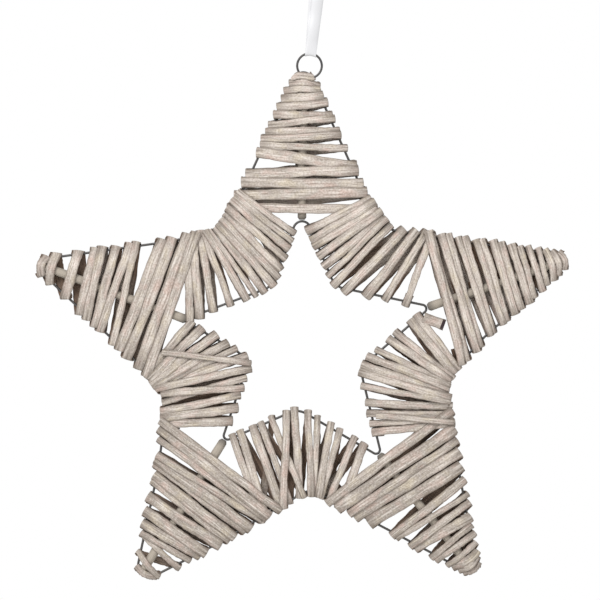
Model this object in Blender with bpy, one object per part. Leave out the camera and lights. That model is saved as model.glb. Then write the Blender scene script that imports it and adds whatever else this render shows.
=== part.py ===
"""Wicker star ornament: two bent steel wires wound with split willow strips, hung by a ring and a ribbon.

Frame: metres, +X to the right, +Z up, the front of the star faces -Y. The star lies in the plane Y = 0.
The origin is the inside top of the ribbon loop, where a hook or a nail goes.
"""

import math
from collections import namedtuple

import bmesh
import bpy
import numpy as np

# Where the star hangs under the hook
CENTRE_SIDEWAYS = -0.0094  # the ribbon leans a little, so the star's middle is not right under the hook
CENTRE_DROP = 0.2789

# The outer wire: arms that would be pointed if their tips were not bent round, and notches between them
TIP_REACH = 0.2167
NOTCH_REACH = 0.1088
TIP_BENDS = (0.0070, 0.0055, 0.0087, 0.0055, 0.0055)
NOTCH_BEND = 0.0120

# The inner wire, round the opening: points that reach into the arms, and bays between them
POINT_REACH = 0.0937
BAY_REACH = 0.0476
POINT_BENDS = (0.0065, 0.0030, 0.0030, 0.0030, 0.0030)
BAY_BEND = 0.0130

# Both stars are bent by hand. For each corner, from the top one anticlockwise as seen from the front:
# its share of the reach above, and its bearing in degrees.
TIPS = ((1.014, 90.4), (1.006, 161.6), (1.001, 233.6), (0.981, 307.6), (0.988, 19.6))
NOTCHES = ((1.024, 125.9), (0.992, 197.6), (0.934, 271.9), (0.965, 348.3), (1.022, 56.1))
POINTS = ((1.170, 91.5), (1.012, 164.9), (0.985, 226.8), (1.037, 306.1), (1.068, 20.3))
BAYS = ((1.170, 117.2), (0.881, 186.0), (0.887, 262.4), (0.891, 344.4), (1.140, 66.0))

# The sides of the outer wire sway a little. For each arm, the side anticlockwise of it and the other one: the
# share of the way from the tip to the notch, and how far in towards the arm's middle (out, where negative).
SWAYS = (
    ((0.70, 0.0027), (0.80, 0.0046)),
    ((0.84, 0.0026), (0.70, 0.0014)),
    ((0.42, -0.0023), (0.62, 0.0026)),
    ((0.50, 0.0003), (0.50, 0.0003)),
    ((0.50, 0.0005), (0.66, 0.0030)),
)
SWAY_BEND = 0.0600

WIRE_DIAMETER = 0.0018
ROD_DIAMETER = 0.0070
ROD_END_SHARE = 0.6  # a rod's end face, as a share of its diameter

# The strips
STRIP_WIDTH = 0.0065
STRIP_THICKNESS = 0.0013
STRIP_GAP = 0.0005  # least space between two turns
ARM_BOW = 0.0005  # how far a strip stands off the rod
NOTCH_BOW = 0.0042  # how far a strip across a notch bows out from the middle plane
WIDTH_SPREAD = 0.12  # share by which one strip may be narrower than the next
SPACE_SHARES = (0.3, 1.7)  # the narrowest and widest space between turns, as shares of the usual one
STRIPS_IN_A_ZONE = 3
TAIL = 0.15  # share of the back that a strip's first and last ends reach across
END_GAP = 0.0012  # between the end of one strip and the start of the next
BEND_SLACK = 0.0003  # beyond the fit, where turns go round a bend of the wire

# Turns round each arm and each notch, and how far a notch's turns reach to each side of it
ARM_TURNS = (16, 11, 12, 13, 16)
NOTCH_TURNS = (10, 10, 11, 10, 10)
NOTCH_SPREAD = (0.0240, 0.0200, 0.0170, 0.0200, 0.0240)
SHOULDER_GAP = 0.0028  # on the outer wire, between an arm's last turn and a notch's first
POINT_GAP = 0.0065  # on the inner wire, between a point and the nearest turn

ARM_NAMES = ("top", "left", "lower_left", "lower_right", "right")
NOTCH_NAMES = ("upper_left", "left", "bottom", "right", "upper_right")

# Single strips laid slantwise over a notch: which notch, the share along it and across it where the strip
# starts, the share along it where it goes round the edge, and whether that is the inner wire.
STRAYS = ((1, 0.10, 0.36, 0.50, True), (3, 0.22, 0.90, 0.06, False))
STRAY_WIDTH = 0.0042

# The ring, and the top wrap that binds it to the tip
RING_DIAMETER = 0.0184  # to the middle of its wire
RING_WIRE = 0.0017
RING_SIDEWAYS = 0.0030
RING_RISE = 0.0047  # the ring's middle, above the top tip of the wire
RING_SIDES = 24
RING_WIRE_SIDES = 8
BINDING_TOP = 0.0001  # this and the next two are below the top tip of the wire
BINDING_BOTTOM = 0.0063
BINDING_SIDE_TOP = 0.0044  # the wrap is narrower where it goes round, under the ring's sides
BINDING_GAP = 0.0015  # between the top wrap and the turns below it

# The ribbon
RIBBON_WIDTH = 0.0100
RIBBON_THICKNESS = 0.0004
RIBBON_SLACK = 0.0003  # round the ring's wire, beyond the fit
HOOK_RADIUS = 0.0040
FOLD_STEPS = 8

FIT = 0.0003  # between any two pieces that touch
BEND_STEPS = 4
SEED = 11

WIRE_RADIUS = WIRE_DIAMETER / 2
ROD_RADIUS = ROD_DIAMETER / 2
CENTRE = np.array((CENTRE_SIDEWAYS, -CENTRE_DROP))


def material(name, colour, roughness, metallic=0.0):
    made = bpy.data.materials.new(name)
    made.use_nodes = True
    shader = made.node_tree.nodes["Principled BSDF"]
    shader.inputs["Base Color"].default_value = (*colour, 1.0)
    shader.inputs["Roughness"].default_value = roughness
    shader.inputs["Metallic"].default_value = metallic
    return made


def add_object(name, data, finish):
    made = bpy.data.objects.new(name, data)
    bpy.context.collection.objects.link(made)
    data.materials.append(finish)
    return made


def unit(vector):
    return vector / np.linalg.norm(vector)


def cross(first, second):
    return first[0] * second[1] - first[1] * second[0]


def spot(reach, corner):
    """The place in the star's plane of a corner given as a share of a reach and a bearing."""
    share, bearing = corner
    turn = math.radians(bearing)
    return CENTRE + reach * share * np.array((math.cos(turn), math.sin(turn)))


def bent_outline(corners, bends):
    """A closed wire outline: straight sides, with each corner an arc of its own radius.

    Gives the points, each point's distance along the wire, and the distance of the middle of each corner.
    """
    points = []
    for i, corner in enumerate(corners):
        inward = unit(corner - corners[i - 1])
        onward = unit(corners[(i + 1) % len(corners)] - corner)
        turn = math.atan2(cross(inward, onward), inward @ onward)
        side = math.copysign(1.0, turn) * np.array((-inward[1], inward[0]))
        centre = corner - inward * bends[i] * math.tan(abs(turn) / 2) + side * bends[i]
        for step in range(BEND_STEPS + 1):
            swing = turn * step / BEND_STEPS
            arm = -side * bends[i]
            swung = (
                arm[0] * math.cos(swing) - arm[1] * math.sin(swing),
                arm[0] * math.sin(swing) + arm[1] * math.cos(swing),
            )
            points.append(centre + swung)
    points = np.array(points)
    lengths = np.linalg.norm(np.roll(points, -1, axis=0) - points, axis=1)
    distances = np.concatenate(((0.0,), np.cumsum(lengths)))
    middles = distances[:-1][BEND_STEPS // 2 :: BEND_STEPS + 1]
    return points, distances, middles


def along_wire(outline, start):
    """A function that gives the place at a distance along a closed outline, counted from start."""
    points, distances, _ = outline
    closed = np.vstack((points, points[:1]))

    def place(distance):
        spot_on_wire = (start + distance) % distances[-1]
        return np.array([np.interp(spot_on_wire, distances, closed[:, axis]) for axis in (0, 1)])

    return place


def swayed(tip, notch, sway, inward_turn):
    """The corner where one of an arm's sides sways, with the inward turn +1 on the anticlockwise side."""
    share, depth = sway
    run = unit(notch - tip)
    return tip + share * (notch - tip) + depth * inward_turn * np.array((-run[1], run[0]))


def along_side(tip, bend, notch):
    """A function that gives the place at a distance from an arm's tip along a side, past its slight bend."""
    line = np.vstack((tip, bend, notch))
    distances = np.concatenate(((0.0,), np.cumsum(np.linalg.norm(np.diff(line, axis=0), axis=1))))
    return lambda distance: np.array([np.interp(distance, distances, line[:, axis]) for axis in (0, 1)])


def turns_along(turns, start, end, width, rng):
    """Where each turn lies along an edge: (low, high) distances in order, which never touch."""
    fitting = min(width, (end - start + STRIP_GAP) / turns - STRIP_GAP)
    widths = fitting * (1.0 - WIDTH_SPREAD * rng.random(turns))
    spare = end - start - widths.sum() - STRIP_GAP * (turns - 1)
    weights = rng.uniform(*SPACE_SHARES, turns - 1)
    gaps = STRIP_GAP + spare * weights / weights.sum()
    lows = start + np.concatenate(((0.0,), np.cumsum(widths[:-1] + gaps)))
    return np.column_stack((lows, lows + widths))


# What strips are wound round. The edges are functions that give the place at a distance along a wire, with
# the distances where the winding starts and ends. Across is the direction that squares off the passes, and
# ridge is two points of a line under the middle of each pass; where these are None, a pass keeps to its own
# direction and middle. The crown is the height of the ridge, and slack is added to the fit round the wires.
Form = namedtuple("Form", "edge_a ends_a edge_b ends_b crown across ridge slack")


def strip_pass(form, span_a, span_b, lift=0.0):
    """One pass of a strip from edge a to edge b, in the star's plane.

    The pass is bounded by two straight lines. Past the wires it runs on along them, or along across where
    that is given, and it is squared off clear of the wire and a strip's thickness beyond. Gives pairs of a
    low and a high point: the inner and the outer end at a, the middle, and the inner and outer end at b.
    """
    lines = [(form.edge_a(span_a[i]), form.edge_b(span_b[i])) for i in (0, 1)]
    direction, runs = form.across, [form.across] * 2
    if direction is None:
        direction = unit(sum(line[1] - line[0] for line in lines))
        runs = [unit(line[1] - line[0]) for line in lines]
    ends = []
    for which, edge, span in ((0, form.edge_a, span_a), (1, form.edge_b, span_b)):
        outward = 1.0 if which else -1.0
        clear = (WIRE_RADIUS + FIT) / abs(cross(unit(edge(span[1]) - edge(span[0])), direction))
        spots = [outward * (edge(distance) @ direction) for distance in np.linspace(*span, 5)]
        for beyond in (0.0, STRIP_THICKNESS):
            reach = outward * (max(spots) + clear + form.slack + lift + beyond)
            pair = [
                line[which] + run * ((reach - line[which] @ direction) / (run @ direction))
                for line, run in zip(lines, runs)
            ]
            ends.append(pair)
    middle = []
    for start, end in lines:
        share = 0.5
        if form.ridge is not None:
            ridge_run = form.ridge[1] - form.ridge[0]
            share = cross(form.ridge[0] - start, ridge_run) / cross(end - start, ridge_run)
        middle.append(start + share * (end - start))
    return ends[0], ends[1], middle, ends[2], ends[3]


def section(inner, outer, depth, face):
    """Four corners across a strip: inner low, inner high, outer high, outer low. Face is -1 in front."""
    near, far = face * depth, face * (depth + STRIP_THICKNESS)
    return [
        (inner[0][0], near, inner[0][1]),
        (inner[1][0], near, inner[1][1]),
        (outer[1][0], far, outer[1][1]),
        (outer[0][0], far, outer[0][1]),
    ]


def end_section(one_pass, which, face, lift=0.0):
    """The section where a pass turns round its edge: which is 0 at edge a and 1 at edge b."""
    inner, outer = (one_pass[3], one_pass[4]) if which else (one_pass[0], one_pass[1])
    return section(inner, outer, WIRE_RADIUS + FIT + lift, face)


def middle_section(one_pass, share, crown, face, lift=0.0):
    """A section part of the way across, on a strip whose middle stands at the crown."""
    end = one_pass[3] if share > 0.5 else one_pass[0]
    rise = 1.0 - abs(2.0 * share - 1.0)
    pair = [low + rise * (high - low) for low, high in zip(end, one_pass[2])]
    edge_depth = WIRE_RADIUS + FIT
    return section(pair, pair, edge_depth + rise * (crown - edge_depth) + lift, face)


def swept_strip(name, sections, finish, closed=False):
    """A strip's solid through its sections."""
    mesh = bpy.data.meshes.new(name)
    solid = bmesh.new()
    rings = [[solid.verts.new(corner) for corner in one] for one in sections]
    pairs = list(zip(rings, rings[1:] + rings[:1]))
    for ring, following in pairs if closed else pairs[:-1]:
        for i in range(4):
            j = (i + 1) % 4
            solid.faces.new((ring[i], ring[j], following[j], following[i]))
    if not closed:
        solid.faces.new(rings[0])
        solid.faces.new(rings[-1][::-1])
    bmesh.ops.recalc_face_normals(solid, faces=solid.faces)
    solid.to_mesh(mesh)
    solid.free()
    return add_object(name, mesh, finish)


def wind(name, form, turns, width, seed, finish):
    """Strips wound round a form, turn by turn, each strip with its share of the turns."""
    rng = np.random.default_rng(seed)
    front_a, back_a = (turns_along(turns, *form.ends_a, width, rng) for _ in range(2))
    front_b, back_b = (turns_along(turns, *form.ends_b, width, rng) for _ in range(2))
    back_a = np.vstack((back_a, back_a[-1:]))
    back_b = np.vstack((back_b[:1], back_b))
    for number, group in enumerate(np.array_split(np.arange(turns), STRIPS_IN_A_ZONE), start=1):
        sections = []
        for turn in group:
            arriving = strip_pass(form, back_a[turn], back_b[turn])
            half_gap = END_GAP / 2 / np.linalg.norm(arriving[3][0] - arriving[0][0])
            share = 0.5
            if turn == group[0]:
                share = TAIL if turn == 0 else 0.5 - half_gap
            sections.append(middle_section(arriving, share, form.crown, 1.0))
            sections.append(end_section(arriving, 0, 1.0))
            front = strip_pass(form, front_a[turn], front_b[turn])
            sections.append(end_section(front, 0, -1.0))
            sections.append(middle_section(front, 0.5, form.crown, -1.0))
            sections.append(end_section(front, 1, -1.0))
            leaving = strip_pass(form, back_a[turn + 1], back_b[turn + 1])
            sections.append(end_section(leaving, 1, 1.0))
        share = 1.0 - TAIL if group[-1] == turns - 1 else 0.5 + half_gap
        sections.append(middle_section(leaving, share, form.crown, 1.0))
        swept_strip(f"{name}_strip_{number}", sections, finish)


def wire(name, outline, finish):
    """A closed wire along an outline in the star's plane."""
    curve = bpy.data.curves.new(name, "CURVE")
    curve.dimensions = "3D"
    curve.bevel_depth = WIRE_RADIUS
    curve.bevel_resolution = 1
    spline = curve.splines.new("POLY")
    spline.points.add(len(outline[0]) - 1)
    for point, (x, z) in zip(spline.points, outline[0]):
        point.co = (x, 0.0, z, 1.0)
    spline.use_cyclic_u = True
    return add_object(name, curve, finish)


def rod(name, start, end, finish):
    """A straight round willow rod with chamfered ends."""
    curve = bpy.data.curves.new(name, "CURVE")
    curve.dimensions = "3D"
    curve.bevel_depth = ROD_RADIUS
    curve.bevel_resolution = 2
    curve.use_fill_caps = True
    spline = curve.splines.new("POLY")
    spline.points.add(3)
    length = np.linalg.norm(end - start)
    chamfer = ROD_RADIUS / 2
    for point, distance in zip(spline.points, (0.0, chamfer, length - chamfer, length)):
        x, z = start + unit(end - start) * distance
        point.co = (x, 0.0, z, 1.0)
        point.radius = ROD_END_SHARE if distance in (0.0, length) else 1.0
    return add_object(name, curve, finish)


for thing in list(bpy.data.objects):
    bpy.data.objects.remove(thing, do_unlink=True)

willow = material("whitewashed_willow", (0.58, 0.51, 0.44), 0.75)
steel = material("grey_steel_wire", (0.10, 0.11, 0.12), 0.45, 0.9)
satin = material("white_satin_ribbon", (0.85, 0.85, 0.84), 0.35)

# The two wires
tips = [spot(TIP_REACH, corner) for corner in TIPS]
notches = [spot(NOTCH_REACH, corner) for corner in NOTCHES]
sways_a = [swayed(tips[k], notches[k], SWAYS[k][0], 1.0) for k in range(5)]
sways_b = [swayed(tips[k], notches[k - 1], SWAYS[k][1], -1.0) for k in range(5)]
outer_corners, outer_bends = [], []
for k in range(5):
    outer_corners += [tips[k], sways_a[k], notches[k], sways_b[(k + 1) % 5]]
    outer_bends += [TIP_BENDS[k], SWAY_BEND, NOTCH_BEND, SWAY_BEND]
outer_wire = bent_outline(outer_corners, outer_bends)
outer_arcs = outer_wire[0].reshape(len(outer_corners), BEND_STEPS + 1, 2)
wire("outer_wire_star", outer_wire, steel)

points = [spot(POINT_REACH, corner) for corner in POINTS]
bays = [spot(BAY_REACH, corner) for corner in BAYS]
inner_corners = [corner for pair in zip(points, bays) for corner in pair]
inner_bends = [bend for point_bend in POINT_BENDS for bend in (point_bend, BAY_BEND)]
inner_wire = bent_outline(inner_corners, inner_bends)
wire("inner_wire_star", inner_wire, steel)

# The arms: a rod down the middle of each, and strips wound round its two sides from the tip to the shoulders
for k, name in enumerate(ARM_NAMES):
    tip, notch_a, notch_b = tips[k], notches[k], notches[k - 1]
    side_a, side_b = unit(sways_a[k] - tip), unit(sways_b[k] - tip)
    half_angle = math.acos(side_a @ side_b) / 2
    axis = unit(side_a + side_b)
    wire_top = TIP_BENDS[k] * (1.0 / math.sin(half_angle) - 1.0)
    wire_top_point = inner_wire[0][2 * k * (BEND_STEPS + 1) + BEND_STEPS // 2]
    rod_run = unit(wire_top_point - tip)
    rod_end = wire_top_point - rod_run * (WIRE_RADIUS + FIT)
    if k == 0:
        tip_level = tip[1] + axis[1] * wire_top
        wound_from = (tip[1] - tip_level + BINDING_BOTTOM + BINDING_GAP) / -axis[1]
        rod_from = wound_from
    else:
        wound_from = wire_top
        least_slant = min(abs(cross(rod_run, side)) for side in (side_a, side_b))
        rod_room = (ROD_RADIUS + WIRE_RADIUS + FIT) / least_slant
        rod_from = max(rod_room, wire_top + WIRE_RADIUS + FIT)
    rod(f"{name}_arm_rod", tip + rod_run * rod_from, rod_end, willow)
    start = wound_from / math.cos(half_angle)
    end_a = np.linalg.norm(notch_a - tip) - NOTCH_SPREAD[k]
    end_b = np.linalg.norm(notch_b - tip) - NOTCH_SPREAD[k - 1]
    form = Form(
        edge_a=along_side(tip, outer_arcs[4 * k + 1], notch_a),
        ends_a=(start, end_a),
        edge_b=along_side(tip, outer_arcs[4 * k - 1][::-1], notch_b),
        ends_b=(start, end_b),
        crown=ROD_RADIUS + FIT + ARM_BOW,
        across=unit(side_b - side_a),
        ridge=(tip, rod_end),
        slack=0.0,
    )
    wind(f"{name}_arm", form, ARM_TURNS[k], STRIP_WIDTH / math.cos(half_angle), SEED + k, willow)

# The notches: strips fanned between the outer and the inner wire
fans = []
for k, name in enumerate(NOTCH_NAMES):
    outer_middle = outer_wire[2][4 * k + 2]
    reach = NOTCH_SPREAD[k] - SHOULDER_GAP
    inner_start, inner_end = inner_wire[2][2 * k], inner_wire[2][(2 * k + 2) % 10]
    inner_length = (inner_end - inner_start) % inner_wire[1][-1]
    form = Form(
        edge_a=along_wire(outer_wire, outer_middle),
        ends_a=(-reach, reach),
        edge_b=along_wire(inner_wire, inner_start),
        ends_b=(POINT_GAP, inner_length - POINT_GAP),
        crown=NOTCH_BOW,
        across=None,
        ridge=None,
        slack=BEND_SLACK,
    )
    wind(f"{name}_notch", form, NOTCH_TURNS[k], STRIP_WIDTH, SEED + len(ARM_NAMES) + k, willow)
    fans.append(form)

# Stray strips over two of the notches: along the front, round the edge and a little way back behind
lift = STRIP_THICKNESS + FIT
for number, (k, along_start, across_start, along_wrap, round_inner) in enumerate(STRAYS, start=1):
    fan = fans[k]
    shares = (along_start, along_wrap) if round_inner else (along_wrap, along_start)
    half = STRAY_WIDTH / 2
    spans = []
    for (low, high), share in ((fan.ends_a, shares[0]), (fan.ends_b, shares[1])):
        at = low + share * (high - low)
        spans.append((at - half, at + half))
    stray = strip_pass(fan, *spans, lift=lift + WIRE_RADIUS)
    wrap = 1 if round_inner else 0
    back = 1.0 - TAIL if round_inner else TAIL
    sections = [middle_section(stray, across_start, NOTCH_BOW, -1.0, lift)]
    if (across_start - 0.5) * (wrap - 0.5) < 0:
        sections.append(middle_section(stray, 0.5, NOTCH_BOW, -1.0, lift))
    sections.append(end_section(stray, wrap, -1.0, lift))
    sections.append(end_section(stray, wrap, 1.0, lift))
    sections.append(middle_section(stray, back, NOTCH_BOW, 1.0, lift))
    swept_strip(f"stray_strip_{number}", sections, willow)

# The ring stands in front of the top tip, and the top wrap goes over its lower side and round the tip
ring_centre = np.array((CENTRE_SIDEWAYS + RING_SIDEWAYS, tip_level + RING_RISE))
ring_depth = WIRE_RADIUS + FIT + RING_WIRE / 2
bpy.ops.mesh.primitive_torus_add(
    major_radius=RING_DIAMETER / 2,
    minor_radius=RING_WIRE / 2,
    major_segments=RING_SIDES,
    minor_segments=RING_WIRE_SIDES,
    location=(ring_centre[0], -ring_depth, ring_centre[1]),
    rotation=(math.pi / 2, 0.0, 0.0),
)
ring = bpy.context.active_object
ring.name = ring.data.name = "hanging_ring"
ring.data.materials.append(steel)
ring.data.shade_smooth()

top_form = Form(
    edge_a=along_side(tips[0], outer_arcs[1], notches[0]),
    ends_a=None,
    edge_b=along_side(tips[0], outer_arcs[-1][::-1], notches[-1]),
    ends_b=None,
    crown=WIRE_RADIUS + FIT,
    across=np.array((1.0, 0.0)),
    ridge=None,
    slack=0.0,
)


def binding_spans(top):
    """Distances from the tip along the top arm's two sides at the wrap's upper and lower edges."""
    spans = []
    for side in (top_form.edge_a, top_form.edge_b):
        fall = (tips[0][1] - side(RING_DIAMETER)[1]) / RING_DIAMETER
        spans.append(tuple((tips[0][1] - tip_level + drop) / fall for drop in (top, BINDING_BOTTOM)))
    return spans


narrow_pass = strip_pass(top_form, *binding_spans(BINDING_SIDE_TOP))
wide_pass = strip_pass(top_form, *binding_spans(BINDING_TOP))
wide_pass = (*narrow_pass[:2], wide_pass[2], *narrow_pass[3:])
over_ring = RING_WIRE + FIT
swept_strip(
    "top_binding",
    [
        end_section(narrow_pass, 0, -1.0, over_ring),
        middle_section(wide_pass, 0.5, top_form.crown, -1.0, over_ring),
        end_section(narrow_pass, 1, -1.0, over_ring),
        end_section(narrow_pass, 1, 1.0),
        middle_section(wide_pass, 0.5, top_form.crown, 1.0),
        end_section(narrow_pass, 0, 1.0),
    ],
    willow,
    closed=True,
)

# The ribbon: one loop, under the top of the ring and over the hook. Its lower fold follows the ring's curve.
lean = unit(-ring_centre)
ring_top = ring_centre + lean * RING_DIAMETER / 2
across = np.array((lean[1], -lean[0]))
fold_radius = RING_WIRE / 2 + FIT + RIBBON_SLACK
ribbon_length = np.linalg.norm(ring_top)
hook_rise = ribbon_length - HOOK_RADIUS
flare = math.asin((HOOK_RADIUS - fold_radius) / hook_rise)
ribbon_rings = []


def ribbon_ring(radius, height, turn, drop_share):
    """A section of the ribbon where it goes round something, turned so many radians from straight behind."""
    inner, outer = [], []
    for share in (-0.5, 0.0, 0.5):
        sideways = share * RIBBON_WIDTH
        drop = RING_DIAMETER / 2 - math.sqrt((RING_DIAMETER / 2) ** 2 - sideways**2)
        for corners, size in ((inner, radius), (outer, radius + RIBBON_THICKNESS)):
            rise = height + size * math.sin(turn) - drop * drop_share
            x, z = ring_top + lean * rise + across * sideways
            corners.append((x, -ring_depth * (1.0 - rise / ribbon_length) + size * math.cos(turn), z))
    return inner + outer[::-1]


for step in range(FOLD_STEPS + 1):
    turn = flare - (math.pi + 2 * flare) * step / FOLD_STEPS
    ribbon_rings.append(ribbon_ring(fold_radius, 0.0, turn, 1.0))
for step in range(FOLD_STEPS + 1):
    turn = math.pi - flare - (math.pi - 2 * flare) * step / FOLD_STEPS
    ribbon_rings.append(ribbon_ring(HOOK_RADIUS, hook_rise, turn, 0.0))

ribbon_mesh = bpy.data.meshes.new("ribbon")
ribbon_solid = bmesh.new()
rows = [[ribbon_solid.verts.new(corner) for corner in one] for one in ribbon_rings]
sides = len(rows[0])
for row, following in zip(rows, rows[1:] + rows[:1]):
    for i in range(sides):
        j = (i + 1) % sides
        ribbon_solid.faces.new((row[i], row[j], following[j], following[i]))
bmesh.ops.recalc_face_normals(ribbon_solid, faces=ribbon_solid.faces)
ribbon_solid.to_mesh(ribbon_mesh)
ribbon_solid.free()
add_object("ribbon", ribbon_mesh, satin)
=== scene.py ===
"""Looks of the wicker star ornament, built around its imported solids.

Metres, in the part's own frame: +X to the right, +Z up, the front faces -Y, the star lies in the plane Y = 0.
"""

import math

import bpy
import numpy as np
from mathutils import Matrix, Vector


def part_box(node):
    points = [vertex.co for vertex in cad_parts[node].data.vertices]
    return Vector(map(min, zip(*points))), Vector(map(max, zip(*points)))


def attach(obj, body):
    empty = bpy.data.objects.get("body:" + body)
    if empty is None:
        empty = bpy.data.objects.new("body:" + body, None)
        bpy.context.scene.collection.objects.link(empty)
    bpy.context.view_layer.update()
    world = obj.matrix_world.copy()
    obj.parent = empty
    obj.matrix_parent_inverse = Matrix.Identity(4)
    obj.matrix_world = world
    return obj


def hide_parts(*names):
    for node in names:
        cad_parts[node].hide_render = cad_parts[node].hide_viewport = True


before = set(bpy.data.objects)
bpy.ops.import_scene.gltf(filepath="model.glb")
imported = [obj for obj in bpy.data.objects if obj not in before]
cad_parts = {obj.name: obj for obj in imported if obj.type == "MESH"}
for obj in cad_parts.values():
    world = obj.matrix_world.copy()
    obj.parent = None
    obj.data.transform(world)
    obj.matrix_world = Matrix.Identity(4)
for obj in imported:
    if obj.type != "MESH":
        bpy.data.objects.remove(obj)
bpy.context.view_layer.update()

# Camera: straight in front of the star. The picture takes in 449 mm square at the star, whose own middle
# lies a little right of the picture's, and below it.
FRAME_SIDE = 0.4486
FRAME_MIDDLE = (-0.0135, -0.2393)
CAMERA_DISTANCE = 2.0
SENSOR = 36.0  # mm


def put_in_scene(name, data):
    """A new object in the scene, from its data."""
    made = bpy.data.objects.new(name, data)
    bpy.context.scene.collection.objects.link(made)
    return made


camera_data = bpy.data.cameras.new("camera")
camera_data.sensor_width = SENSOR
camera_data.lens = SENSOR * CAMERA_DISTANCE / FRAME_SIDE
camera = put_in_scene("camera", camera_data)
camera.location = (FRAME_MIDDLE[0], -CAMERA_DISTANCE, FRAME_MIDDLE[1])
camera.rotation_euler = (math.pi / 2, 0.0, 0.0)
bpy.context.scene.camera = camera

# Ribbon: one loop of thin white satin, 10 mm wide. It goes under the top of the ring and over whatever the
# star hangs on, and its two runs lie a little out of line with each other.
RIBBON_WIDTH = 0.0098
RIBBON_THICKNESS = 0.0004
FOLD_AT_RING, FOLD_AT_HOOK = 0.0016, 0.0042  # radius of the ribbon's turn
FOLD_STATIONS = 24
RUN_OFFSET = 0.0036  # sideways, between the two runs at the hook
GATHERED = 0.84  # the share of its width that the ribbon shows, as it curls a little along its length
RIBBON_CURL = 0.0010
RIBBON_WAVE = 0.0003
WAVE_SWING = 260.0  # radians of that wave in a metre
WAVE_START = 0.010  # above the ring, over which the wave comes in
RING_HOLD = 0.012  # above the ring, over which the ribbon takes the ring's round
EDGE_POWER = 0.4  # of the cosine in the ribbon's section, which squares its oval
RIBBON_STATIONS = 160
RIBBON_COLUMNS = 24
THREADS_IN_A_MM = 2.6


def linear(colour):
    """A linear colour from a hex string of sRGB."""
    srgb = np.array([int(colour[i : i + 2], 16) for i in (1, 3, 5)]) / 255
    return (*np.where(srgb <= 0.04045, srgb / 12.92, ((srgb + 0.055) / 1.055) ** 2.4), 1.0)


def add_node(tree, kind, inputs=None, **settings):
    """One node with its settings. Each of its inputs gets a value, or a link from another node's output."""
    made = tree.nodes.new(kind)
    for key, value in settings.items():
        setattr(made, key, value)
    for key, value in (inputs or {}).items():
        if isinstance(value, bpy.types.NodeSocket):
            tree.links.new(value, made.inputs[key])
        else:
            made.inputs[key].default_value = value
    return made


def new_finish(name, **values):
    """A material with its Principled shader's constants set: gives the material, its node tree and shader."""
    made = bpy.data.materials.new(name)
    made.use_nodes = True
    shader = made.node_tree.nodes["Principled BSDF"]
    for key, value in values.items():
        shader.inputs[key.replace("_", " ")].default_value = value
    return made, made.node_tree, shader


def unit(vectors):
    """Vectors at length 1, along the last axis."""
    return vectors / np.linalg.norm(vectors, axis=-1, keepdims=True)


def skin(grid, closed_rows, first=0):
    """The faces of a grid of points, numbered from first, whose columns close on themselves.

    Each face joins a row and column to the next ones. Rows either close too, or end in a flat face.
    """
    rows, columns = grid.shape[:2]
    index = first + np.arange(rows * columns).reshape(rows, columns)
    following = np.roll(index, -1, axis=0) if closed_rows else index[1:]
    here = index if closed_rows else index[:-1]
    quads = np.stack((here, np.roll(here, -1, 1), np.roll(following, -1, 1), following), axis=-1)
    faces = quads.reshape(-1, 4).tolist()
    if not closed_rows:
        faces += [index[0, ::-1].tolist(), index[-1].tolist()]
    return faces


def add_piece(name, points, faces, finish, replaced):
    """A smooth mesh object in the part's frame, which rides on the body and stands for the named solids."""
    mesh = bpy.data.meshes.new(name)
    mesh.from_pydata(points.reshape(-1, 3).tolist(), [], faces)
    mesh.shade_smooth()
    mesh.materials.append(finish)
    made = put_in_scene(name, mesh)
    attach(made, "root")
    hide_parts(*replaced)
    return made


ring_low, ring_high = (np.array(corner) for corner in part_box("hanging_ring"))
ring_centre = (ring_low + ring_high) / 2
ring_wire = (ring_high - ring_low)[1] / 2
ring_radius = (ring_high - ring_low)[0] / 2 - ring_wire

# The run from the ring's top to the hook at the origin, in the plane of the star
in_plane = np.array((1, 0, 1))
away = np.array((0, 1, 0))  # from the viewer
hang_foot = (ring_centre + unit(-ring_centre * in_plane) * ring_radius) * in_plane
hang_length = np.linalg.norm(hang_foot)
hang_up = -hang_foot / hang_length
hang_across = np.cross(hang_up, away)
hook_rise = hang_length - FOLD_AT_HOOK
flare = math.asin((FOLD_AT_HOOK - FOLD_AT_RING) / hook_rise)

# Seen from the side, the loop goes under the ring's wire from the front to behind, and over the hook from
# behind to the front. Its stations are evenly spaced, each with its rise along the run and its depth.
low_turn = np.linspace(-flare, math.pi + flare, FOLD_STATIONS) + math.pi
high_turn = np.linspace(flare, math.pi - flare, FOLD_STATIONS)
rise = np.concatenate((FOLD_AT_RING * np.sin(low_turn), hook_rise + FOLD_AT_HOOK * np.sin(high_turn)))[::-1]
depth = np.concatenate((FOLD_AT_RING * np.cos(low_turn), FOLD_AT_HOOK * np.cos(high_turn)))[::-1]
steps = np.hypot(np.diff(rise, append=rise[0]), np.diff(depth, append=depth[0]))
walked = np.concatenate(((0.0,), np.cumsum(steps)))
stations = np.linspace(0.0, walked[-1], RIBBON_STATIONS, endpoint=False)
rise = np.interp(stations, walked, np.append(rise, rise[0]))
depth = np.interp(stations, walked, np.append(depth, depth[0]))
in_front = 0.5 - 0.5 * np.clip(depth / FOLD_AT_RING, -1, 1)
depth += RIBBON_WAVE * np.sin(WAVE_SWING * rise) * np.clip(rise / WAVE_START, 0, 1)
tangent = np.stack((np.roll(rise, -1) - np.roll(rise, 1), np.roll(depth, -1) - np.roll(depth, 1)), axis=-1)
tangent = unit(tangent)

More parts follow.
